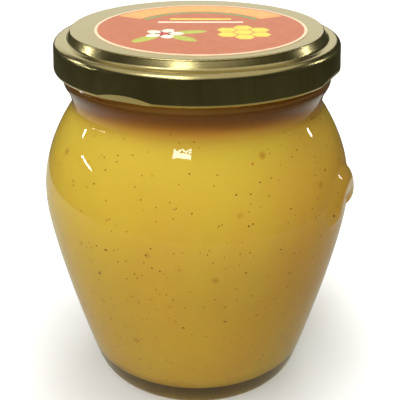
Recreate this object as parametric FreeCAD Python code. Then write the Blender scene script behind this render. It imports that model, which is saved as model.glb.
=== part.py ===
import FreeCAD, Part
import math
import os

os.makedirs("parts", exist_ok=True)

# Pot-bellied glass jar with two handle ears, filled with creamed honey, closed by a
# twist-off lid with a round paper label. Millimetres, +Z up, ears on +X and -X, base on Z = 0.

# overall sizes; a "drop" is measured down from the rim, an "out" outward from the mouth's wall
rim_h = 98.15            # top of the glass
belly_r = 41.74          # widest radius of the body
base_r = 27.7            # outer edge of the flat that the jar stands on
finish_r = 32.1          # wall of the mouth inside the lid, for a 70 mm twist-off lid

# base and heel
bearing_w = 1.6          # width of the flat that the jar stands on
push_up = 2.0            # rise of the hollow under the base
push_flat_r = 10.0       # flat middle of that hollow
heel_out = 3.85          # heel beyond the standing flat
heel_h = 5.0             # height where the heel ends and the wall begins
heel_slope = 0.30        # outward lean of the wall there

# belly and shoulder
belly_h = 54.8           # height of the widest place
shoulder_drop = 20.65    # where the shoulder runs into the neck
shoulder_out = 2.05
shoulder_slope = 0.67    # inward lean of the shoulder there
heel_pull = 0.10         # how far each wall curve holds its direction, as a share of its rise
belly_pull_low = 0.24
belly_pull_high = 0.308
shoulder_pull = 0.445

# neck, bead and mouth
neck_drop = 17.85        # narrowest place between shoulder and bead
neck_out = 0.85
bead_drop = 11.75        # lower end of the bead's upright face
bead_face = 0.8          # height of that face
bead_out = 2.65
bead_round = 1.2
rim_round_out = 1.1
rim_round_in = 0.7

# glass thickness
wall = 3.3               # body wall
lip_w = 2.3              # wall of the neck and mouth
floor_h = 5.8            # inside floor above the standing plane
floor_round = 4.2        # corner between floor and wall
bore_drop = 17.15        # where the inside becomes a straight bore

# handle ears: a rounded rib bent to an arch on each side of the belly
ear_arch_r = 7.5         # radius of the arch
ear_over_belly = 6.2     # height of the rib's middle at the crown, above the widest place
ear_half_span = 66.0     # degrees from the crown to each end
ear_rise = 1.5           # how far the rib stands out of the glass
ear_w = 8.0              # width of the rib where it meets the glass

# threads: one short sloping rib on the mouth above each lug
thread_out = 2.2
thread_sink = 0.8        # how deep the rib's root lies in the glass
thread_root = 2.2        # height of the rib at the glass
thread_crest = 1.2       # height of the rib at its outer edge
thread_half_angle = 31.0
thread_slope = 3.0       # degrees; a rib falls clockwise, seen from above
thread_ahead = 24.0      # degrees from a lug to the middle of its rib
thread_gap = 0.3         # space between a lug and the rib over it

# lid
sheet = 0.25             # thickness of the tinplate
skirt_drop = 9.35        # lower edge of the skirt
skirt_room = 1.9         # space between the threads and the inside of the skirt
ring_drop = 1.9          # flat ring round the raised panel
panel_edge = 0.4         # rounding of the panel's edge
riser_lean = 0.7         # how far the riser spreads from the panel's edge to its foot
riser_foot = 0.65        # height of that foot above the ring
ring_blend = 0.8         # from the foot outward to the flat of the ring
skirt_round = 1.6        # rounding between ring and skirt
skirt_flare = 0.35       # how much wider the skirt is at its foot
curl_h = 2.0             # rolled edge at the foot of the skirt
curl_w = 1.45
curl_round_out = 0.8
curl_round_in = 0.65
curl_round_top = 0.5

# lugs
lugs = 4
lug_turn = 86.5          # degrees from +X to the first lug
lug_press = 1.05         # how far the edge is pressed in at a lug
lug_press_h = 1.9        # height of the flat that this leaves
lug_room = 1.2           # space between a lug's tip and the wall of the mouth
lug_root = 0.6           # how far a lug runs into the rolled edge
lug_half_angle = 8.0
lug_lift = 0.15          # lug above the lower edge of the lid
lug_t = 1.2

# filling and label
fill_over = 1.2          # level of the honey above the lower edge of the lid
label_margin = 5.5       # bare metal round the label, to the panel's edge
label_t = 0.12
label_off = 2.5          # the label sits a little off the lid's axis
label_off_turn = -45.0   # degrees from +X to the way it is off

# what follows from these
heel_r = base_r + heel_out
shoulder_h = rim_h - shoulder_drop
shoulder_r = finish_r + shoulder_out
neck_h = rim_h - neck_drop
neck_r = finish_r + neck_out
bead_low = rim_h - bead_drop
bead_high = bead_low + bead_face
bead_r = finish_r + bead_out
bore_r = finish_r - lip_w
bore_h = rim_h - bore_drop
ear_top_h = belly_h + ear_over_belly
thread_r = finish_r + thread_out
lid_low = rim_h - skirt_drop
ring_h = rim_h - ring_drop
panel_h = rim_h + sheet  # the panel rests on the rim
panel_r = finish_r
skirt_r = thread_r + skirt_room + sheet
foot_r = skirt_r + skirt_flare
curl_in = skirt_r - curl_w
lug_tip_r = finish_r + lug_room
fill_h = lid_low + fill_over
label_r = panel_r - label_margin


def pt(r, z):
    return FreeCAD.Vector(r, 0, z)


def line(a, b):
    return Part.makeLine(pt(*a), pt(*b))


def bend(a, lead_a, lead_b, b):
    """cubic curve from a to b, leaving by lead_a and arriving by lead_b (both vectors)"""
    c = Part.BezierCurve()
    c.setPoles([pt(*a), pt(a[0] + lead_a[0], a[1] + lead_a[1]),
                pt(b[0] - lead_b[0], b[1] - lead_b[1]), pt(*b)])
    return c


def arc(a, middle, b):
    return Part.Arc(pt(*a), pt(*middle), pt(*b)).toShape()


def quarter(centre, radius, start, end):
    """arc about a centre from one angle to another, in degrees"""
    def at(angle):
        t = math.radians(angle)
        return (centre[0] + radius * math.cos(t), centre[1] + radius * math.sin(t))
    return arc(at(start), at((start + end) / 2), at(end))


def along(slope, length):
    n = math.hypot(slope, 1.0)
    return (slope / n * length, length / n)


def wall_curves(inset):
    """heel to belly and belly to shoulder, moved inward by inset"""
    up = belly_h - heel_h
    down = shoulder_h - belly_h
    low = bend((heel_r - inset, heel_h), along(heel_slope, heel_pull * up),
               (0, belly_pull_low * up), (belly_r - inset, belly_h))
    lean = along(-shoulder_slope, shoulder_pull * down)
    high = bend((belly_r - inset, belly_h), (0, belly_pull_high * down), lean,
                (shoulder_r - inset, shoulder_h))
    return low, high


def turned(edges):
    """solid of revolution, with its seam on +Y, clear of the ears"""
    solid = Part.Face(Part.Wire(edges)).revolve(FreeCAD.Vector(0, 0, 0),
                                                FreeCAD.Vector(0, 0, 1), 360)
    solid.rotate(FreeCAD.Vector(0, 0, 0), FreeCAD.Vector(0, 0, 1), 90)
    return solid


def place_at(curve, z):
    """the rising curve's own parameter at a height"""
    a, b = 0.0, 1.0
    for _ in range(50):
        middle = (a + b) / 2
        if curve.value(middle).z < z:
            a = middle
        else:
            b = middle
    return (a + b) / 2


def outside_radius(z):
    low, high = wall_curves(0.0)
    curve = low if z <= belly_h else high
    return curve.value(place_at(curve, z)).x


def glass_outside():
    low, high = wall_curves(0.0)
    flat_in = base_r - bearing_w
    push_lead = 0.5 * (flat_in - push_flat_r)
    push_end = (0.35 * push_up, -0.6 * push_up)
    heel_lead, heel_end = 0.675 * heel_out, 0.48 * heel_h
    neck_lead, neck_end = 1.3, 1.2
    bead_lead, bead_end = 3.6, 1.9
    bead_top = bead_high + bead_round
    flat_r = bead_r - bead_round
    rim_r = finish_r - rim_round_out
    edges = [
        line((0, push_up), (push_flat_r, push_up)),
        bend((push_flat_r, push_up), (push_lead, 0), push_end, (flat_in, 0)).toShape(),
        line((flat_in, 0), (base_r, 0)),
        bend((base_r, 0), (heel_lead, 0), along(heel_slope, heel_end),
             (heel_r, heel_h)).toShape(),
        low.toShape(),
        high.toShape(),
        bend((shoulder_r, shoulder_h), along(-shoulder_slope, neck_lead), (0, neck_end),
             (neck_r, neck_h)).toShape(),
        bend((neck_r, neck_h), (0, bead_lead), (0, bead_end), (bead_r, bead_low)).toShape(),
        line((bead_r, bead_low), (bead_r, bead_high)),
        quarter((flat_r, bead_high), bead_round, 0, 90),
        line((flat_r, bead_top), (finish_r, bead_top)),
        line((finish_r, bead_top), (finish_r, rim_h - rim_round_out)),
        quarter((rim_r, rim_h - rim_round_out), rim_round_out, 0, 90),
        line((rim_r, rim_h), (0, rim_h)),
        line((0, rim_h), (0, push_up)),
    ]
    return turned(edges)


def inside_edges(top):
    """edges of the hollow from the middle of the floor up to the given height"""
    low, high = wall_curves(wall)
    # the wall curve starts at the heel; the floor's corner meets it a little higher up
    place = place_at(low, floor_h + floor_round)
    corner = low.value(place)
    lean = low.tangent(place)[0]
    pull = 0.55 * floor_round
    flat_r = corner.x - floor_round
    low.segment(place, 1.0)
    bore_lead = 1.2
    return [
        line((0, floor_h), (flat_r, floor_h)),
        bend((flat_r, floor_h), (pull, 0), (pull * lean.x, pull * lean.z),
             (corner.x, corner.z)).toShape(),
        low.toShape(),
        high.toShape(),
        bend((shoulder_r - wall, shoulder_h), along(-shoulder_slope, bore_lead),
             (0, bore_lead), (bore_r, bore_h)).toShape(),
        line((bore_r, bore_h), (bore_r, top)),
    ]


def hollow():
    top = rim_h - rim_round_in
    lip_r = bore_r + rim_round_in
    over = rim_h + 2.0
    edges = inside_edges(top) + [
        quarter((lip_r, top), rim_round_in, 180, 90),
        line((lip_r, rim_h), (lip_r, over)),
        line((lip_r, over), (0, over)),
        line((0, over), (0, floor_h)),
    ]
    return turned(edges)


def ear(side):
    """a round rib bent to an arch, sunk into the belly so that it stands out by ear_rise"""
    rib_r = (ear_w ** 2 / 4 + ear_rise ** 2) / (2 * ear_rise)
    centre_h = ear_top_h - ear_arch_r
    span = math.radians(ear_half_span)
    end_y = ear_arch_r * math.sin(span)
    end_h = centre_h + ear_arch_r * math.cos(span)
    end_out = math.sqrt(outside_radius(end_h) ** 2 - end_y ** 2)
    x = side * (end_out + ear_rise - rib_r)
    up = FreeCAD.Vector(0, 0, 1)
    middle = FreeCAD.Vector(x, 0, centre_h)
    arch = Part.makeTorus(ear_arch_r, rib_r, FreeCAD.Vector(0, 0, 0), up, -180, 180,
                          2 * ear_half_span)
    arch.rotate(FreeCAD.Vector(0, 0, 0), up, -ear_half_span)
    arch.rotate(FreeCAD.Vector(0, 0, 0), FreeCAD.Vector(0, 1, 0), -90)
    arch.translate(middle)
    ends = []
    for s in (1, -1):
        # the ball's poles lie along the arch, so that both stay inside the glass
        way = FreeCAD.Vector(0, s * math.cos(span), -math.sin(span))
        ends.append(Part.makeSphere(rib_r, FreeCAD.Vector(x, s * end_y, end_h), way))
    return [arch] + ends


def ring_piece(corners, half_angle, middle):
    """a section swept round the axis by half_angle to each side of an angle, in degrees"""
    sides = [line(a, b) for a, b in zip(corners, corners[1:] + corners[:1])]
    piece = Part.Face(Part.Wire(sides)).revolve(FreeCAD.Vector(0, 0, 0),
                                                FreeCAD.Vector(0, 0, 1), 2 * half_angle)
    piece.rotate(FreeCAD.Vector(0, 0, 0), FreeCAD.Vector(0, 0, 1), middle - half_angle)
    return piece


def thread(turn):
    """the rib that the lug at this angle hooks under"""
    root = finish_r - thread_sink
    a, b = thread_root / 2, thread_crest / 2
    flare = (a - b) / (thread_r - finish_r)
    deep = a + flare * (finish_r - root)
    rib = ring_piece([(root, -deep), (thread_r, -b), (thread_r, b), (root, deep)],
                     thread_half_angle, 0)
    rib.rotate(FreeCAD.Vector(0, 0, 0), FreeCAD.Vector(1, 0, 0), thread_slope)
    # where the rib passes over the lug its lower side clears the lug by thread_gap
    drop = thread_r * math.sin(math.radians(thread_ahead)) * math.sin(math.radians(thread_slope))
    lower = a - flare * lug_room
    rib.translate(FreeCAD.Vector(0, 0, lid_low + lug_lift + lug_t + thread_gap + drop + lower))
    rib.rotate(FreeCAD.Vector(0, 0, 0), FreeCAD.Vector(0, 0, 1), turn + thread_ahead)
    return rib


def lug_turns():
    return [lug_turn + 360.0 * i / lugs for i in range(lugs)]


def make_jar():
    solid = glass_outside()
    for piece in ear(1) + ear(-1) + [thread(turn) for turn in lug_turns()]:
        solid = solid.fuse(piece)
    return solid.cut(hollow()).removeSplitter()


def make_honey():
    return turned(inside_edges(fill_h) + [line((bore_r, fill_h), (0, fill_h)),
                                          line((0, fill_h), (0, floor_h))])


def make_lid():
    round_r = skirt_r - skirt_round
    round_h = ring_h - skirt_round
    flat_r = panel_r - panel_edge
    edge_h = panel_h - panel_edge
    edge_r = panel_r + 0.05
    foot = (panel_r + riser_lean, ring_h + riser_foot)
    ring_in = foot[0] + ring_blend
    under_in = ring_in - 0.05
    under_h = ring_h - sheet
    curl_top = lid_low + curl_h
    flare_h = lid_low + curl_round_out
    inner_foot = foot_r - sheet - skirt_flare * (curl_top - flare_h) / (round_h - flare_h)
    edges = [
        line((0, panel_h), (flat_r, panel_h)),
        bend((flat_r, panel_h), (0.3, 0), (0.1, -0.25), (edge_r, edge_h)).toShape(),
        line((edge_r, edge_h), foot),
        bend(foot, (0.12, -0.35), (0.4, 0), (ring_in, ring_h)).toShape(),
        line((ring_in, ring_h), (round_r, ring_h)),
        quarter((round_r, round_h), skirt_round, 90, 0),
        line((skirt_r, round_h), (foot_r, flare_h)),
        quarter((foot_r - curl_round_out, flare_h), curl_round_out, 0, -90),
        line((foot_r - curl_round_out, lid_low), (curl_in + curl_round_in, lid_low)),
        quarter((curl_in + curl_round_in, lid_low + curl_round_in), curl_round_in, -90, -180),
        line((curl_in, lid_low + curl_round_in), (curl_in, curl_top - curl_round_top)),
        quarter((curl_in + curl_round_top, curl_top - curl_round_top), curl_round_top, 180, 90),
        line((curl_in + curl_round_top, curl_top), (inner_foot, curl_top)),
        line((inner_foot, curl_top), (skirt_r - sheet, round_h)),
        quarter((round_r, round_h), skirt_round - sheet, 0, 90),
        line((round_r, under_h), (under_in, under_h)),
        bend((under_in, under_h), (-0.45, 0), (-0.15, 0.45), (foot[0] - sheet, foot[1])).toShape(),
        line((foot[0] - sheet, foot[1]), (edge_r - sheet, edge_h)),
        bend((edge_r - sheet, edge_h), (-0.04, 0.1), (-0.1, 0), (flat_r, rim_h)).toShape(),
        line((flat_r, rim_h), (0, rim_h)),
        line((0, rim_h), (0, panel_h)),
    ]
    shell = turned(edges)
    tilt = math.degrees(math.atan2(lug_press, lug_press_h))
    root_r = curl_in + lug_root
    low = lid_low + lug_lift
    knife_w, knife_l, knife_h = 6.0, 30.0, 12.0
    for turn in lug_turns():
        # the tongue that reaches in under the thread
        tongue = [(lug_tip_r, low), (root_r, low), (root_r, low + lug_t), (lug_tip_r, low + lug_t)]
        shell = shell.fuse(ring_piece(tongue, lug_half_angle, turn))
        # the flat pressed into the edge outside it
        knife = Part.makeBox(knife_w, knife_l, knife_h,
                             FreeCAD.Vector(0, -knife_l / 2, -knife_h))
        knife.rotate(FreeCAD.Vector(0, 0, 0), FreeCAD.Vector(0, 1, 0), tilt)
        knife.translate(FreeCAD.Vector(foot_r, 0, lid_low + lug_press_h))
        knife.rotate(FreeCAD.Vector(0, 0, 0), FreeCAD.Vector(0, 0, 1), turn)
        shell = shell.cut(knife)
    return shell.removeSplitter()


def make_label():
    t = math.radians(label_off_turn)
    at = FreeCAD.Vector(label_off * math.cos(t), label_off * math.sin(t), panel_h)
    return Part.makeCylinder(label_r, label_t, at)


for name, make in (("jar", make_jar), ("honey", make_honey), ("lid", make_lid),
                   ("label", make_label)):
    solids = make().Solids
    if len(solids) != 1:
        raise ValueError(name + " came out as %d solids" % len(solids))
    solids[0].exportStep("parts/" + name + ".step")
    print(name, "valid", solids[0].isValid(), "volume %.2f ml" % (solids[0].Volume / 1000.0))
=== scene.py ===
import bpy
import bmesh
import math
import random
from mathutils import Matrix, Vector
from mathutils.bvhtree import BVHTree


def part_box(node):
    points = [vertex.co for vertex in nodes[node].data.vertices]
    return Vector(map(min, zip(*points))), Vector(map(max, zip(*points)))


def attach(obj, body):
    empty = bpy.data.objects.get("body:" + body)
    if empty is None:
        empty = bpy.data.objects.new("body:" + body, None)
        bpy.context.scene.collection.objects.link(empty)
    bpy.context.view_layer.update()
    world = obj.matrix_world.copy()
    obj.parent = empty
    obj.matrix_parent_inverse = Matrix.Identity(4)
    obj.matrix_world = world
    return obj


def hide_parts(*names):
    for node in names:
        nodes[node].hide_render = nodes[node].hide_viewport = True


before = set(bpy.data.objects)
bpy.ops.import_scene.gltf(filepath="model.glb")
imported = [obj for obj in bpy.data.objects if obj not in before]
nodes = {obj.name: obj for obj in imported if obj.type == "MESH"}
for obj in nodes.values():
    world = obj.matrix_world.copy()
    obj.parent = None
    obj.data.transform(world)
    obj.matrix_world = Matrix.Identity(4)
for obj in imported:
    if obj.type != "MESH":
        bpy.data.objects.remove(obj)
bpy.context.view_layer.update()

mm = 0.001
labelLow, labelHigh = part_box("label")
honeyLow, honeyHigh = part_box("honey")
viewTurn = math.radians(-67)     # the side of the jar that faces the camera
viewAxes = viewTurn + math.pi / 2    # turns +X to the viewer's right and -Y to the camera


def hexColor(value):
    # sRGB hex to the linear values that shaders take
    def linear(c):
        return c / 12.92 if c <= 0.04045 else ((c + 0.055) / 1.055) ** 2.4
    parts = [int(value[i:i + 2], 16) / 255 for i in (1, 3, 5)]
    return tuple(linear(c) for c in parts) + (1.0,)


def newMaterial(name):
    mat = bpy.data.materials.new(name)
    mat.use_nodes = True
    mat.node_tree.nodes.clear()
    return mat


def addNode(mat, kind, settings=None, links=None):
    # a setting is a property of the node or the value of one of its sockets
    node = mat.node_tree.nodes.new(kind)
    for key, value in (settings or {}).items():
        if isinstance(key, str) and hasattr(node, key):
            setattr(node, key, value)
        else:
            node.inputs[key].default_value = value
    for key, source in (links or {}).items():
        mat.node_tree.links.new(source, node.inputs[key])
    return node


def perMetre(sizeInMm):
    # noise scale for features of about this size
    return 1.0 / (sizeInMm * mm)


def setMaterial(obj, mat):
    obj.data.materials.clear()
    obj.data.materials.append(mat)


def makeObject(name, bm, smooth=True):
    mesh = bpy.data.meshes.new(name)
    bm.to_mesh(mesh)
    bm.free()
    obj = bpy.data.objects.new(name, mesh)
    bpy.context.scene.collection.objects.link(obj)
    for face in mesh.polygons:
        face.use_smooth = smooth
    return obj


glass = {
    "tint": "#F4F8EF",
    "rippleSize": 14,            # in mm
    "rippleDepth": 0.25 * mm,
    "rippleStrength": 0.12,
}


def sodaLimeGlass():
    # blown into a mould: clear, faintly green, with soft ripples that bend the highlights
    mat = newMaterial("sodaLimeGlass")
    coords = addNode(mat, "ShaderNodeTexCoord").outputs["Object"]
    ripple = addNode(mat, "ShaderNodeTexNoise",
                     {"Scale": perMetre(glass["rippleSize"]), "Detail": 1.0}, {"Vector": coords})
    bump = addNode(mat, "ShaderNodeBump",
                   {"Strength": glass["rippleStrength"], "Distance": glass["rippleDepth"]},
                   {"Height": ripple.outputs["Fac"]})
    shell = addNode(mat, "ShaderNodeBsdfPrincipled",
                    {"Base Color": hexColor(glass["tint"]), "Roughness": 0.01, "IOR": 1.52,
                     "Transmission Weight": 1.0}, {"Normal": bump.outputs["Normal"]})
    # lamps shine through to what is inside
    clear = addNode(mat, "ShaderNodeBsdfTransparent", {"Color": hexColor(glass["tint"])})
    ray = addNode(mat, "ShaderNodeLightPath")
    mix = addNode(mat, "ShaderNodeMixShader", None,
                  {0: ray.outputs["Is Shadow Ray"], 1: shell.outputs[0], 2: clear.outputs[0]})
    addNode(mat, "ShaderNodeOutputMaterial", None, {"Surface": mix.outputs[0]})
    return mat


honey = {
    "reach": 0.15 * mm,          # how far it goes into the glass, so that no gap shows
    "merge": 0.001 * mm,         # vertices closer than this become one
    "colorTop": 90 * mm,         # the colors below are given as shares of this height
    # golden and a little lighter near the shoulder; browner through the neck, painted shade of the
    # lid; paler again just under the level, a painted highlight where the glass bead shines
    "colors": [(0.0, "#C29B36"), (0.3, "#C49D35"), (0.6, "#C6A43D"), (0.845, "#CDB044"),
               (0.868, "#CCA944"), (0.885, "#C49A3C"), (0.900, "#B4802A"), (0.916, "#966016"),
               (0.934, "#80490E"), (0.950, "#7A4A10"), (0.963, "#CC9E52"), (0.976, "#A87838"),
               (1.0, "#946428")],
    "cloudSize": 26,             # in mm, as are the sizes below
    "swirlSize": 55,
    "crumbSpacing": 10,
    "grainSize": 0.6,            # real crystals are finer: this is coarse enough to show
    "shadedSide": (1.0, 0.05, 0.0),    # painted shade: towards this side, away from the lamps, the honey is a little redder
    "shadedReach": (28 * mm, 37 * mm),     # from the axis: where that starts, and is full
    "bleed": "#A2691E",          # round a few of the larger crumbs
}


def creamedHoney():
    # set and whipped: opaque and waxy, a little light goes in and comes out warmer; it wets
    # the glass, so the gloss is all the glass's
    mat = newMaterial("creamedHoney")
    coords = addNode(mat, "ShaderNodeTexCoord").outputs["Object"]
    height = addNode(mat, "ShaderNodeSeparateXYZ", None, {"Vector": coords}).outputs["Z"]
    level = addNode(mat, "ShaderNodeMapRange", {"From Min": 0.0, "From Max": honey["colorTop"]},
                    {"Value": height})
    # the height ramp paints the lid's shade on the neck and a highlight band under the level
    tone = addNode(mat, "ShaderNodeValToRGB", None, {"Fac": level.outputs["Result"]})
    ramp = tone.color_ramp
    ramp.elements[0].color = hexColor(honey["colors"][0][1])
    ramp.elements[1].color = hexColor(honey["colors"][-1][1])
    for share, color in honey["colors"][1:-1]:
        ramp.elements.new(share).color = hexColor(color)
    clouds = addNode(mat, "ShaderNodeTexNoise",
                     {"Scale": perMetre(honey["cloudSize"]), "Detail": 3.0, "Roughness": 0.55},
                     {"Vector": coords})
    shade = addNode(mat, "ShaderNodeMapRange",
                    {"From Min": 0.3, "From Max": 0.7, "To Min": 0.96, "To Max": 1.04},
                    {"Value": clouds.outputs["Fac"]})
    # spice has stirred in unevenly, in wide browner swirls; the redder side is painted shade
    swirls = addNode(mat, "ShaderNodeTexNoise",
                     {"Scale": perMetre(honey["swirlSize"]), "Detail": 2.0, "Distortion": 0.6},
                     {"Vector": coords})
    brown = addNode(mat, "ShaderNodeMapRange",
                    {"From Min": 0.42, "From Max": 0.68, "To Min": 0.502, "To Max": 0.486},
                    {"Value": swirls.outputs["Fac"]})
    side = addNode(mat, "ShaderNodeVectorMath",
                   {"operation": "DOT_PRODUCT", 1: honey["shadedSide"]}, {0: coords})
    shadeFrom, shadeFull = honey["shadedReach"]
    # painted shade: the honey turns redder towards the side away from the lamps
    sideShade = addNode(mat, "ShaderNodeMapRange",
                   {"From Min": shadeFrom, "From Max": shadeFull, "To Min": 0.0, "To Max": -0.014},
                   {"Value": side.outputs["Value"]})
    hue = addNode(mat, "ShaderNodeMath", {"operation": "ADD"},
                  {0: brown.outputs["Result"], 1: sideShade.outputs["Result"]})
    mottled = addNode(mat, "ShaderNodeHueSaturation", None,
                      {"Color": tone.outputs["Color"], "Value": shade.outputs["Result"],
                       "Hue": hue.outputs[0]})
    # the odd crumb has bled a soft brown spot a millimetre or so wide
    crumbs = addNode(mat, "ShaderNodeTexVoronoi", {"Scale": perMetre(honey["crumbSpacing"])},
                     {"Vector": coords})
    spot = addNode(mat, "ShaderNodeMapRange",
                   {"From Min": 0.03, "From Max": 0.12, "To Min": 0.6, "To Max": 0.0},
                   {"Value": crumbs.outputs["Distance"]})
    spotted = addNode(mat, "ShaderNodeMix", {"data_type": "RGBA", 7: hexColor(honey["bleed"])},
                      {0: spot.outputs["Result"], 6: mottled.outputs["Color"]})
    grain = addNode(mat, "ShaderNodeTexNoise",
                    {"Scale": perMetre(honey["grainSize"]), "Detail": 2.0}, {"Vector": coords})
    bump = addNode(mat, "ShaderNodeBump", {"Strength": 0.2, "Distance": 0.05 * mm},
                   {"Height": grain.outputs["Fac"]})
    shader = addNode(mat, "ShaderNodeBsdfPrincipled",
                     {"Roughness": 0.6, "IOR": 1.49, "Specular IOR Level": 0.02,
                      "Subsurface Weight": 0.35, "Subsurface Radius": (1.0, 0.55, 0.15),
                      "Subsurface Scale": 2.0 * mm},
                     {"Base Color": spotted.outputs[2], "Normal": bump.outputs["Normal"]})
    addNode(mat, "ShaderNodeOutputMaterial", None, {"Surface": shader.outputs[0]})
    return mat


def makeHoney():
    bm = bmesh.new()
    bm.from_mesh(nodes["honey"].data)
    bmesh.ops.remove_doubles(bm, verts=bm.verts, dist=honey["merge"])
    bm.normal_update()
    for vert in bm.verts:
        vert.co += vert.normal * honey["reach"]
    piece = makeObject("honeyFill", bm)
    setMaterial(piece, creamedHoney())
    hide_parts("honey")
    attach(piece, "root")
    print("honey made")
    return piece


specks = {
    # size is the least and greatest radius in mm, sunk a share of it
    "fine": {"count": 1000, "size": (0.15, 0.26), "subdivisions": 1, "sunk": 0.0,
             "colors": ("#6A3A0E", "#96591C")},
    "coarse": {"count": 40, "size": (0.26, 0.46), "subdivisions": 2, "sunk": 0.10,
               "colors": ("#925E1A", "#B07824")},
    "flatness": 0.45,
    "width": (0.5, 1.0),         # least and greatest, as a share of the length
    "patchSize": 4,              # of the patches of color, in mm
    "overFloor": 3 * mm,         # none lower than this above the bottom of the honey
    "underLevel": 5 * mm,        # and none higher than this below its top
    "seed": 11,
}


def groundSpice(name, dark, light):
    # dry ground bark: dull, from dark to reddish brown
    mat = newMaterial(name)
    coords = addNode(mat, "ShaderNodeTexCoord").outputs["Object"]
    patch = addNode(mat, "ShaderNodeTexNoise",
                    {"Scale": perMetre(specks["patchSize"]), "Detail": 1.0}, {"Vector": coords})
    tone = addNode(mat, "ShaderNodeValToRGB", None, {"Fac": patch.outputs["Fac"]})
    tone.color_ramp.elements[0].position = 0.35
    tone.color_ramp.elements[0].color = hexColor(dark)
    tone.color_ramp.elements[1].position = 0.65
    tone.color_ramp.elements[1].color = hexColor(light)
    shader = addNode(mat, "ShaderNodeBsdfPrincipled",
                     {"Roughness": 0.8, "Specular IOR Level": 0.05},
                     {"Base Color": tone.outputs["Color"]})
    addNode(mat, "ShaderNodeOutputMaterial", None, {"Surface": shader.outputs[0]})
    return mat


def scatterSpecks(name, kind, honeyPiece, chance):
    tree = BVHTree.FromObject(honeyPiece, bpy.context.evaluated_depsgraph_get())
    low, high = honeyLow.z + specks["overFloor"], honeyHigh.z - specks["underLevel"]
    bm = bmesh.new()
    for _ in range(kind["count"]):
        turn = chance.uniform(0, 2 * math.pi)
        out = Vector((math.cos(turn), math.sin(turn), 0))
        spot, normal, _, _ = tree.ray_cast(Vector((0, 0, chance.uniform(low, high))), out)
        if spot is None:
            continue
        size = chance.uniform(*kind["size"]) * mm
        face = normal.to_track_quat("Z", "Y").to_matrix().to_4x4()
        place = Matrix.Translation(spot - normal * kind["sunk"] * size) @ face
        place = place @ Matrix.Rotation(chance.uniform(0, math.pi), 4, "Z")
        shape = (1, chance.uniform(*specks["width"]), specks["flatness"], 1)
        place = place @ Matrix.Diagonal(shape)
        bmesh.ops.create_icosphere(bm, subdivisions=kind["subdivisions"], radius=size,
                                  matrix=place)
    piece = makeObject(name, bm)
    setMaterial(piece, groundSpice(name + "Spice", *kind["colors"]))
    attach(piece, "root")


def makeSpecks(honeyPiece):
    chance = random.Random(specks["seed"])
    scatterSpecks("fineSpecks", specks["fine"], honeyPiece, chance)
    scatterSpecks("coarseSpecks", specks["coarse"], honeyPiece, chance)
    print("specks made")


lacquer = {
    "colors": ("#C2B47A", "#D0C28C"),
    "roughness": (0.19, 0.27),
    "markLength": 9,             # in mm
    "stretch": 14.0,             # times as long as wide: real marks are finer and wouldn't show
}


def goldLacqueredTinplate():
    # pressed steel sheet under a clear gold lacquer: satin, with faint rolling marks
    mat = newMaterial("goldLacqueredTinplate")
    coords = addNode(mat, "ShaderNodeTexCoord").outputs["Object"]
    rolled = addNode(mat, "ShaderNodeMapping", {"Scale": (1.0, lacquer["stretch"], 1.0)},
                     {"Vector": coords})
    marks = addNode(mat, "ShaderNodeTexNoise",
                    {"Scale": perMetre(lacquer["markLength"]), "Detail": 3.0},
                    {"Vector": rolled.outputs["Vector"]})
    smoothest, roughest = lacquer["roughness"]
    rough = addNode(mat, "ShaderNodeMapRange", {"To Min": smoothest, "To Max": roughest},
                    {"Value": marks.outputs["Fac"]})
    tone = addNode(mat, "ShaderNodeValToRGB", None, {"Fac": marks.outputs["Fac"]})
    tone.color_ramp.elements[0].color = hexColor(lacquer["colors"][0])
    tone.color_ramp.elements[1].color = hexColor(lacquer["colors"][1])
    shader = addNode(mat, "ShaderNodeBsdfPrincipled",
                     {"Metallic": 1.0},
                     {"Base Color": tone.outputs["Color"], "Roughness": rough.outputs["Result"]})
    addNode(mat, "ShaderNodeOutputMaterial", None, {"Surface": shader.outputs[0]})
    return mat


paper = {
    "bare": ("#F4CFAC", "#FADBBC"),      # where it isn't printed
    "mottleSize": 1.5,                   # in mm
}
inks = {
    "red": ("#B8623C", "#C26E47"),
    "orange": ("#E8A050", "#EFB064"),
    "green": ("#6E9A55", "#7DA861"),
    "yellow": ("#E8CB3C", "#F0D850"),
    "cream": ("#F6E4CB", "#FBEFDD"),
    "leaf": ("#A9B43A", "#B8C24A"),
    "crimson": ("#B8322A", "#C8433A"),
}


def printedPaper(name, color, worn):
    # coated label paper: smooth, with a faint mottle in the ink
    mat = newMaterial(name)
    coords = addNode(mat, "ShaderNodeTexCoord").outputs["Object"]
    mottle = addNode(mat, "ShaderNodeTexNoise",
                     {"Scale": perMetre(paper["mottleSize"]), "Detail": 2.0}, {"Vector": coords})
    tone = addNode(mat, "ShaderNodeValToRGB", None, {"Fac": mottle.outputs["Fac"]})
    tone.color_ramp.elements[0].position = 0.3
    tone.color_ramp.elements[0].color = hexColor(color)
    tone.color_ramp.elements[1].position = 0.7
    tone.color_ramp.elements[1].color = hexColor(worn)
    shader = addNode(mat, "ShaderNodeBsdfPrincipled", {"Roughness": 0.42},
                     {"Base Color": tone.outputs["Color"]})
    addNode(mat, "ShaderNodeOutputMaterial", None, {"Surface": shader.outputs[0]})
    return mat


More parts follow.
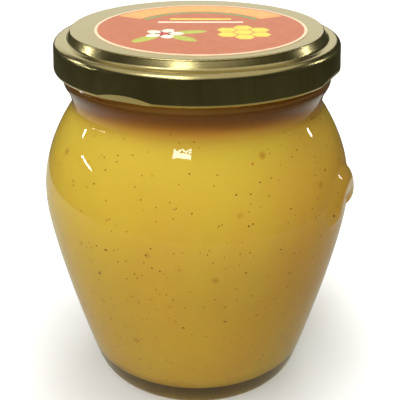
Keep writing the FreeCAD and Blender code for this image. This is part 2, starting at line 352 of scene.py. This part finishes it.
label = {
    "center": (labelLow + labelHigh) / 2,
    "radius": (labelHigh.x - labelLow.x) / 2,
    "inkDepth": 0.008 * mm,
    "layerStep": 0.008 * mm,
    "up": viewTurn + math.pi,    # the way the top of the print points
    "border": 0.7 * mm,          # width of the bare paper round the print
    "bowHalfAngle": 1.05,        # the bow and the line run this far each way from the top
    "bowBand": (0.70, 0.97),     # inner and outer edge, as shares of the print's radius
    "lineBand": (0.62, 0.67),
    "upperBar": (8.8 * mm, 16 * mm, 1.6 * mm),    # place up the print, width and height
    "lowerBar": (5.3 * mm, 22 * mm, 1.3 * mm),
    "combAt": (10.5 * mm, -5.5 * mm),
    "cell": 5.0 * mm,            # across the corners
    "cellStep": 4.7 * mm,
    "flowerAt": (-9.0 * mm, -7.0 * mm),
    "leaf": (6.5 * mm, 8.5 * mm, 3.4 * mm),       # place outward, length and width
    "leafTurns": (-130, -43, 14),
    "petal": (2.6 * mm, 4.6 * mm, 3.2 * mm),
    "petals": 5,
    "heart": 2.6 * mm,
}


def labelPlace(x, y, layer, turn=0.0):
    # a place on the label, with y towards the top of the print
    base = Vector((label["center"].x, label["center"].y, labelHigh.z + layer * label["layerStep"]))
    up = Matrix.Rotation(label["up"] - math.pi / 2, 4, "Z")
    return (Matrix.Translation(base) @ up @ Matrix.Translation((x, y, 0))
            @ Matrix.Rotation(turn, 4, "Z"))


def addOval(bm, place, width, height, sides=48):
    bmesh.ops.create_circle(bm, cap_ends=True, segments=sides, radius=0.5,
                            matrix=place @ Matrix.Diagonal((width, height, 1, 1)))


def addBar(bm, middle, width, height):
    place = labelPlace(0, middle, 1)
    bmesh.ops.create_grid(bm, x_segments=1, y_segments=1, size=0.5,
                          matrix=place @ Matrix.Diagonal((width, height, 1, 1)))


def addBow(bm, band):
    # part of a ring round the top of the print
    place = labelPlace(0, 0, 1)
    half = label["bowHalfAngle"]
    reach = label["radius"] - label["border"]
    ends = [bm.verts.new(place @ Matrix.Rotation(-half, 4, "Z") @ Vector((0, share * reach, 0)))
            for share in band]
    edge = bm.edges.new(ends)
    bmesh.ops.spin(bm, geom=ends + [edge], cent=place.translation, axis=(0, 0, 1), steps=40,
                   angle=2 * half)


def inkPiece(name, ink, drawShapes):
    bm = bmesh.new()
    drawShapes(bm)
    raised = bmesh.ops.extrude_face_region(bm, geom=bm.faces[:])
    top = [v for v in raised["geom"] if isinstance(v, bmesh.types.BMVert)]
    bmesh.ops.translate(bm, verts=top, vec=(0, 0, label["inkDepth"]))
    bmesh.ops.recalc_face_normals(bm, faces=bm.faces)
    piece = makeObject(name, bm, smooth=False)
    setMaterial(piece, printedPaper("ink" + ink.capitalize(), *inks[ink]))
    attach(piece, "root")


def drawField(bm):
    across = 2 * (label["radius"] - label["border"])
    addOval(bm, labelPlace(0, 0, 0), across, across, sides=96)


def drawComb(bm):
    # one cell with six round it
    x, y = label["combAt"]
    places = [(x, y)]
    for angle in range(30, 390, 60):
        turn = math.radians(angle)
        places.append((x + label["cellStep"] * math.cos(turn),
                       y + label["cellStep"] * math.sin(turn)))
    for cellX, cellY in places:
        addOval(bm, labelPlace(cellX, cellY, 1, math.radians(30)), label["cell"], label["cell"],
                sides=6)


def drawLeaves(bm):
    out, length, width = label["leaf"]
    for turn in label["leafTurns"]:
        place = labelPlace(*label["flowerAt"], 1, math.radians(turn))
        addOval(bm, place @ Matrix.Translation((out, 0, 0)), length, width)


def drawPetals(bm):
    out, length, width = label["petal"]
    for i in range(label["petals"]):
        place = labelPlace(*label["flowerAt"], 2, 2 * math.pi * i / label["petals"])
        addOval(bm, place @ Matrix.Translation((out, 0, 0)), length, width)


def drawHeart(bm):
    addOval(bm, labelPlace(*label["flowerAt"], 3), label["heart"], label["heart"])


def makeLabelPrint():
    inkPiece("labelField", "red", drawField)
    inkPiece("labelBow", "orange", lambda bm: addBow(bm, label["bowBand"]))
    inkPiece("labelLine", "green", lambda bm: addBow(bm, label["lineBand"]))
    inkPiece("labelUpperBar", "yellow", lambda bm: addBar(bm, *label["upperBar"]))
    inkPiece("labelLowerBar", "cream", lambda bm: addBar(bm, *label["lowerBar"]))
    inkPiece("labelComb", "yellow", drawComb)
    inkPiece("labelLeaves", "leaf", drawLeaves)
    inkPiece("labelPetals", "cream", drawPetals)
    inkPiece("labelHeart", "crimson", drawHeart)
    print("label print made")


studio = {
    "floorSize": 6.0,
    "floor": ("#CFD1D3", "#D5D7D9"),
    "speckleSize": 40,           # in mm
    "lift": 0.65,                # added to the floor that the camera sees, away from the jar
    "shadowNear": 0.03,          # the lift starts here, from the middle
    "shadowFar": 0.085,          # and is full here
    "fill": "#FFF8EC",
    "fillStrength": 0.82,
    "aimHeight": 0.06,           # lamps and the card face the jar's axis at this height
}


def aroundJar(distance, turn, height):
    # turn is measured from the camera's side, to the viewer's right
    angle = viewTurn + math.radians(turn)
    return Vector((distance * math.cos(angle), distance * math.sin(angle), height))


def atAngle(distance, turn, lift):
    # a place seen from the jar's middle at this turn and elevation, in degrees
    rise = math.radians(lift)
    return aroundJar(distance * math.cos(rise), turn,
                     studio["aimHeight"] + distance * math.sin(rise))


def seenOrMirrored(mat):
    # 1 for rays from the camera, also by way of metal or through glass, and 0 for the rays
    # that light things
    ray = addNode(mat, "ShaderNodeLightPath")
    pair = addNode(mat, "ShaderNodeMath", {"operation": "MAXIMUM"},
                   {0: ray.outputs["Is Camera Ray"], 1: ray.outputs["Is Glossy Ray"]})
    seen = addNode(mat, "ShaderNodeMath", {"operation": "MAXIMUM"},
                   {0: pair.outputs[0], 1: ray.outputs["Is Transmission Ray"]})
    direct = addNode(mat, "ShaderNodeMath", {"operation": "LESS_THAN", 1: 0.5},
                     {0: ray.outputs["Diffuse Depth"]})
    return addNode(mat, "ShaderNodeMath", {"operation": "MULTIPLY"},
                   {0: seen.outputs[0], 1: direct.outputs[0]}).outputs[0]


def paleFloor():
    # painted board; it reads as white from the camera and still takes the shadow
    mat = newMaterial("paleFloorPaint")
    coords = addNode(mat, "ShaderNodeTexCoord").outputs["Object"]
    speckle = addNode(mat, "ShaderNodeTexNoise", {"Scale": perMetre(studio["speckleSize"])},
                      {"Vector": coords})
    tone = addNode(mat, "ShaderNodeValToRGB", None, {"Fac": speckle.outputs["Fac"]})
    tone.color_ramp.elements[0].color = hexColor(studio["floor"][0])
    tone.color_ramp.elements[1].color = hexColor(studio["floor"][1])
    shader = addNode(mat, "ShaderNodeBsdfPrincipled", {"Roughness": 0.9},
                     {"Base Color": tone.outputs["Color"]})
    away = addNode(mat, "ShaderNodeVectorMath", {"operation": "LENGTH"}, {0: coords})
    rise = addNode(mat, "ShaderNodeMapRange",
                   {"interpolation_type": "SMOOTHSTEP", "From Min": studio["shadowNear"],
                    "From Max": studio["shadowFar"], "To Min": 0.0, "To Max": studio["lift"]},
                   {"Value": away.outputs["Value"]})
    lift = addNode(mat, "ShaderNodeEmission", {"Color": (1, 1, 1, 1)},
                   {"Strength": rise.outputs["Result"]})
    both = addNode(mat, "ShaderNodeAddShader", None, {0: shader.outputs[0], 1: lift.outputs[0]})
    mix = addNode(mat, "ShaderNodeMixShader", None,
                  {0: seenOrMirrored(mat), 1: shader.outputs[0], 2: both.outputs[0]})
    addNode(mat, "ShaderNodeOutputMaterial", None, {"Surface": mix.outputs[0]})
    return mat


def makeFloor():
    bm = bmesh.new()
    bmesh.ops.create_grid(bm, x_segments=1, y_segments=1, size=studio["floorSize"] / 2)
    floor = makeObject("studioFloor", bm, smooth=False)
    setMaterial(floor, paleFloor())


def onlyMirrored(obj):
    obj.visible_camera = False
    obj.visible_diffuse = False
    obj.visible_transmission = False
    obj.visible_shadow = False


# a dark room round the jar, seen only in reflections; it glows, painted light standing in for a
# lit room, and is no lamp
room = {
    "inner": 0.030,                  # radius of the hole it leaves under the jar
    "low": 1.0 * mm,
    "radius": 0.95,
    "top": 1.0,
    "steps": 48,
    "boardHalf": (0.22, 0.20),       # half the width and depth of the pale oval board
    "boardMiddle": (-0.02, -0.01),   # to the viewer's right and away from the camera
    "board": ("#A09A82", "#D2D0C4"),     # in front of the jar and behind it: painted light, dimmer in front and brighter behind
    "boardWay": (-0.3, 0.95, 0),     # from the one to the other, in the board's own axes
    "boardChange": (-0.22, 0.36),    # where along that way it starts and ends
    "boardEdge": (0.97, 1.03),       # in shares of the board's half size, as clothFade is
    "clothNear": "#5C5B50",          # where it meets the board
    "clothFade": (1.38, 1.78),       # from that to the darker cloth
    "cloth": ("#26271D", "#4C4D3E"),
    "foldSize": 260,                 # in mm
    "ceiling": "#CFCBC0",
    "ceilingRise": (0.93, 0.99),     # the wall takes the ceiling's color between these heights
}


def roomGlow():
    # a glowing pale board near the jar, matt dark cloth beyond it and a grey ceiling: painted
    # light, seen only in reflections
    mat = newMaterial("roomGlow")
    coords = addNode(mat, "ShaderNodeTexCoord").outputs["Object"]
    halfX, halfY = room["boardHalf"]
    middle = Matrix.Rotation(viewAxes, 3, "Z") @ Vector((*room["boardMiddle"], 0))
    facing = addNode(mat, "ShaderNodeMapping",
                     {"vector_type": "TEXTURE", "Location": middle, "Scale": (halfX, halfY, 1.0),
                      "Rotation": (0, 0, viewAxes)}, {"Vector": coords})
    reach = addNode(mat, "ShaderNodeVectorMath", {"operation": "LENGTH"},
                    {0: facing.outputs["Vector"]})
    behind = addNode(mat, "ShaderNodeVectorMath",
                     {"operation": "DOT_PRODUCT", 1: room["boardWay"]},
                     {0: facing.outputs["Vector"]})
    lit = addNode(mat, "ShaderNodeMapRange",
                  {"From Min": room["boardChange"][0], "From Max": room["boardChange"][1]},
                  {"Value": behind.outputs["Value"]})
    board = addNode(mat, "ShaderNodeMix",
                    {"data_type": "RGBA", 6: hexColor(room["board"][0]),
                     7: hexColor(room["board"][1])}, {0: lit.outputs["Result"]})
    edge = addNode(mat, "ShaderNodeMapRange",
                   {"From Min": room["boardEdge"][0], "From Max": room["boardEdge"][1]},
                   {"Value": reach.outputs["Value"]})
    fade = addNode(mat, "ShaderNodeMapRange",
                   {"From Min": room["clothFade"][0], "From Max": room["clothFade"][1]},
                   {"Value": reach.outputs["Value"]})
    folds = addNode(mat, "ShaderNodeTexNoise",
                    {"Scale": perMetre(room["foldSize"]), "Detail": 2.0}, {"Vector": coords})
    cloth = addNode(mat, "ShaderNodeValToRGB", None, {"Fac": folds.outputs["Fac"]})
    cloth.color_ramp.elements[0].position = 0.35
    cloth.color_ramp.elements[0].color = hexColor(room["cloth"][0])
    cloth.color_ramp.elements[1].position = 0.7
    cloth.color_ramp.elements[1].color = hexColor(room["cloth"][1])
    drape = addNode(mat, "ShaderNodeMix",
                    {"data_type": "RGBA", 6: hexColor(room["clothNear"])},
                    {0: fade.outputs["Result"], 7: cloth.outputs["Color"]})
    ground = addNode(mat, "ShaderNodeMix", {"data_type": "RGBA"},
                     {0: edge.outputs["Result"], 6: board.outputs[2], 7: drape.outputs[2]})
    height = addNode(mat, "ShaderNodeSeparateXYZ", None, {"Vector": coords}).outputs["Z"]
    rise = addNode(mat, "ShaderNodeMapRange",
                   {"From Min": room["ceilingRise"][0], "From Max": room["ceilingRise"][1]},
                   {"Value": height})
    tone = addNode(mat, "ShaderNodeMix", {"data_type": "RGBA", 7: hexColor(room["ceiling"])},
                   {0: rise.outputs["Result"], 6: ground.outputs[2]})
    shader = addNode(mat, "ShaderNodeEmission", None, {"Color": tone.outputs[2]})
    addNode(mat, "ShaderNodeOutputMaterial", None, {"Surface": shader.outputs[0]})
    return mat


def makeRoom():
    bm = bmesh.new()
    profile = [(room["inner"], room["low"]), (room["radius"], room["low"]),
               (room["radius"], room["top"]), (0, room["top"])]
    verts = [bm.verts.new((r, 0, z)) for r, z in profile]
    edges = [bm.edges.new(pair) for pair in zip(verts, verts[1:])]
    bmesh.ops.spin(bm, geom=verts + edges, cent=(0, 0, 0), axis=(0, 0, 1),
                   steps=room["steps"], angle=2 * math.pi, use_merge=True)
    walls = makeObject("darkRoom", bm)
    setMaterial(walls, roomGlow())
    onlyMirrored(walls)


card = {
    "distance": 0.85,
    "turn": -170,
    "lift": 18,
    "width": 1.0,
    "height": 0.42,
    "colors": ("#F2EFE0", "#FFFFFA"),
    "patchSize": 200,            # in mm
}


def backCardGlow():
    # matt white card, a little uneven; it glows: painted light, no lamp
    mat = newMaterial("backCardGlow")
    coords = addNode(mat, "ShaderNodeTexCoord").outputs["Object"]
    soft = addNode(mat, "ShaderNodeTexNoise", {"Scale": perMetre(card["patchSize"])},
                   {"Vector": coords})
    tone = addNode(mat, "ShaderNodeValToRGB", None, {"Fac": soft.outputs["Fac"]})
    tone.color_ramp.elements[0].color = hexColor(card["colors"][0])
    tone.color_ramp.elements[1].color = hexColor(card["colors"][1])
    shader = addNode(mat, "ShaderNodeEmission", None, {"Color": tone.outputs["Color"]})
    addNode(mat, "ShaderNodeOutputMaterial", None, {"Surface": shader.outputs[0]})
    return mat


def makeBackCard():
    # behind the jar, where the top of the lid mirrors it
    bm = bmesh.new()
    place = atAngle(card["distance"], card["turn"], card["lift"])
    aim = Vector((0, 0, studio["aimHeight"])) - place
    face = aim.to_track_quat("Z", "Y").to_matrix().to_4x4()
    size = Matrix.Diagonal((card["width"], card["height"], 1, 1))
    bmesh.ops.create_grid(bm, x_segments=1, y_segments=1, size=0.5,
                          matrix=Matrix.Translation(place) @ face @ size)
    piece = makeObject("backCard", bm, smooth=False)
    setMaterial(piece, backCardGlow())
    onlyMirrored(piece)


lamps = [
    {"name": "ceilingLeft", "place": atAngle(0.80, -38, 62), "width": 0.32, "height": 0.32,
     "power": 1.2},
    {"name": "front", "place": atAngle(0.80, -16, 34), "width": 0.35, "height": 0.35,
     "power": 2.6, "mirrored": False},
    {"name": "back", "place": atAngle(0.80, 165, 40), "width": 0.35, "height": 0.35,
     "power": 2.0, "mirrored": False},
    {"name": "windowUpper", "place": atAngle(0.60, -13.5, 43.0), "width": 0.130, "height": 0.012,
     "power": 0.09},
    {"name": "windowLower", "place": atAngle(0.60, -13.5, 40.9), "width": 0.130, "height": 0.020,
     "power": 0.12},
    {"name": "stripLeft", "place": atAngle(0.60, -108, 22), "width": 0.018, "height": 0.16,
     "power": 0.20},
    {"name": "stripRight", "place": atAngle(0.60, 108, 22), "width": 0.018, "height": 0.16,
     "power": 0.16},
    {"name": "tubeLeft", "place": atAngle(0.60, -91, 12), "width": 0.15, "height": 0.010,
     "power": 0.10},
]


def addSoftbox(name, place, width, height, power, mirrored=True):
    lamp = bpy.data.lights.new(name, "AREA")
    lamp.shape = "RECTANGLE"
    lamp.size = width
    lamp.size_y = height
    lamp.energy = power
    obj = bpy.data.objects.new(name, lamp)
    obj.location = place
    aim = Vector((0, 0, studio["aimHeight"])) - place
    obj.rotation_euler = aim.to_track_quat("-Z", "Y").to_euler()
    obj.visible_glossy = mirrored
    bpy.context.scene.collection.objects.link(obj)


def lightStudio():
    world = bpy.data.worlds.new("paleRoom")
    bpy.context.scene.world = world
    world.use_nodes = True
    world.node_tree.nodes.clear()
    fill = addNode(world, "ShaderNodeBackground",
                   {"Color": hexColor(studio["fill"]), "Strength": studio["fillStrength"]})
    seen = addNode(world, "ShaderNodeBackground", {"Color": (1, 1, 1, 1), "Strength": 1.0})
    mix = addNode(world, "ShaderNodeMixShader", None,
                  {0: seenOrMirrored(world), 1: fill.outputs[0], 2: seen.outputs[0]})
    addNode(world, "ShaderNodeOutputWorld", None, {"Surface": mix.outputs[0]})
    for lamp in lamps:
        addSoftbox(**lamp)


view = {
    "distance": 0.1825,          # from the jar's axis, level
    "height": 0.1404,
    "pitch": math.radians(63.3),
    "lens": 64.3,
    "sensor": 36,
    "shift": 0.0075,
    "clipStart": 0.01,
}


def addCamera():
    data = bpy.data.cameras.new("camera")
    data.lens = view["lens"]
    data.sensor_width = view["sensor"]
    data.shift_x = view["shift"]
    data.clip_start = view["clipStart"]
    camera = bpy.data.objects.new("camera", data)
    camera.location = aroundJar(view["distance"], 0, view["height"])
    camera.rotation_euler = (view["pitch"], 0, viewAxes)
    bpy.context.scene.collection.objects.link(camera)
    bpy.context.scene.camera = camera


addCamera()
makeFloor()
makeRoom()
makeBackCard()
lightStudio()
print("studio ready")
setMaterial(nodes["jar"], sodaLimeGlass())
setMaterial(nodes["lid"], goldLacqueredTinplate())
setMaterial(nodes["label"], printedPaper("labelPaper", *paper["bare"]))
print("jar, lid and label finished")
makeSpecks(makeHoney())
makeLabelPrint()
bpy.context.scene.view_settings.view_transform = "Standard"
